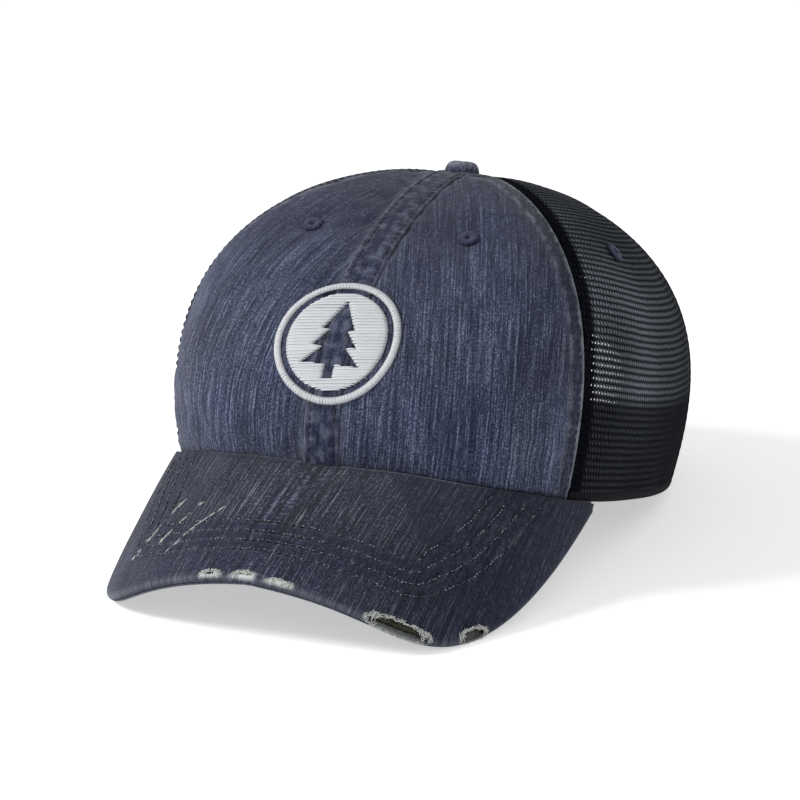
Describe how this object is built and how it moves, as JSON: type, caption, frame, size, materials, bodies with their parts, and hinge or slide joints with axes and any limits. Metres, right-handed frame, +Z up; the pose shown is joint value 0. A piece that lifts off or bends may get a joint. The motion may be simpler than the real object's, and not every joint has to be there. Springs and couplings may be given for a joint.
{
  "type": "trucker cap",
  "caption": "Baseball-style trucker cap with denim front, curved bill, mesh sides and back, round emblem, top button and plastic snap closure.",
  "frame": {"origin": "on the table under the middle of the cap's bounding box, with the cap standing on its bill's side edges and its rear hem", "axes": "+Z up from the table, -Y the way the bill points, +X the wearer's left; the cap's own up axis leans back 13.75 degrees"},
  "size_m": [0.1718, 0.277, 0.1334],
  "materials": {
    "denim": "washed slub denim, matt",
    "bill_denim": "washed and frayed slub denim, matt",
    "indigo": "dark indigo denim and thread, matt",
    "net": "knitted polyester mesh",
    "webbing": "woven cotton tape",
    "plastic": "satin moulded plastic",
    "board": "stiff sheet board",
    "thread": "satin embroidery thread",
    "steel": "plated steel"
  },
  "bodies": {
    "root": {"front_panel_left": "denim", "side_panel_left": "net", "back_panel_left": "net", "front_panel_right": "denim", "side_panel_right": "net", "back_panel_right": "net", "front_center_strip": "indigo", "seam_tape_front_center": "webbing", "seam_tape_front_left": "webbing", "seam_tape_front_right": "webbing", "seam_tape_rear_left": "webbing", "seam_tape_rear_right": "webbing", "seam_tape_back_center": "webbing", "sweatband": "webbing", "rear_arch_binding": "webbing", "hole_strap_tab": "plastic", "peg_strap_tab": "plastic", "bill_board": "board", "bill_top_cover": "bill_denim", "bill_under_cover": "bill_denim", "emblem_patch": "thread", "eyelet_front_left": "indigo", "eyelet_front_right": "indigo", "eyelet_side_left": "indigo", "eyelet_side_right": "indigo", "eyelet_back_left": "indigo", "eyelet_back_right": "indigo", "top_button_cap": "denim", "top_button_tack": "steel"},
    "hole_strap": {"hole_strap": "plastic"},
    "peg_strap": {"peg_strap": "plastic"}
  },
  "joints": [
    {"name": "hole_strap_peel", "type": "hinge", "parent": "root", "child": "hole_strap", "pos_m": [0.04123, 0.12201, 0.0116], "axis": [0, -0.2377, -0.9713], "range_deg": [0, 70]},
    {"name": "peg_strap_peel", "type": "hinge", "parent": "root", "child": "peg_strap", "pos_m": [-0.04069, 0.121, 0.0121], "axis": [0, -0.2377, -0.9713], "range_deg": [0, 35]}
  ]
}
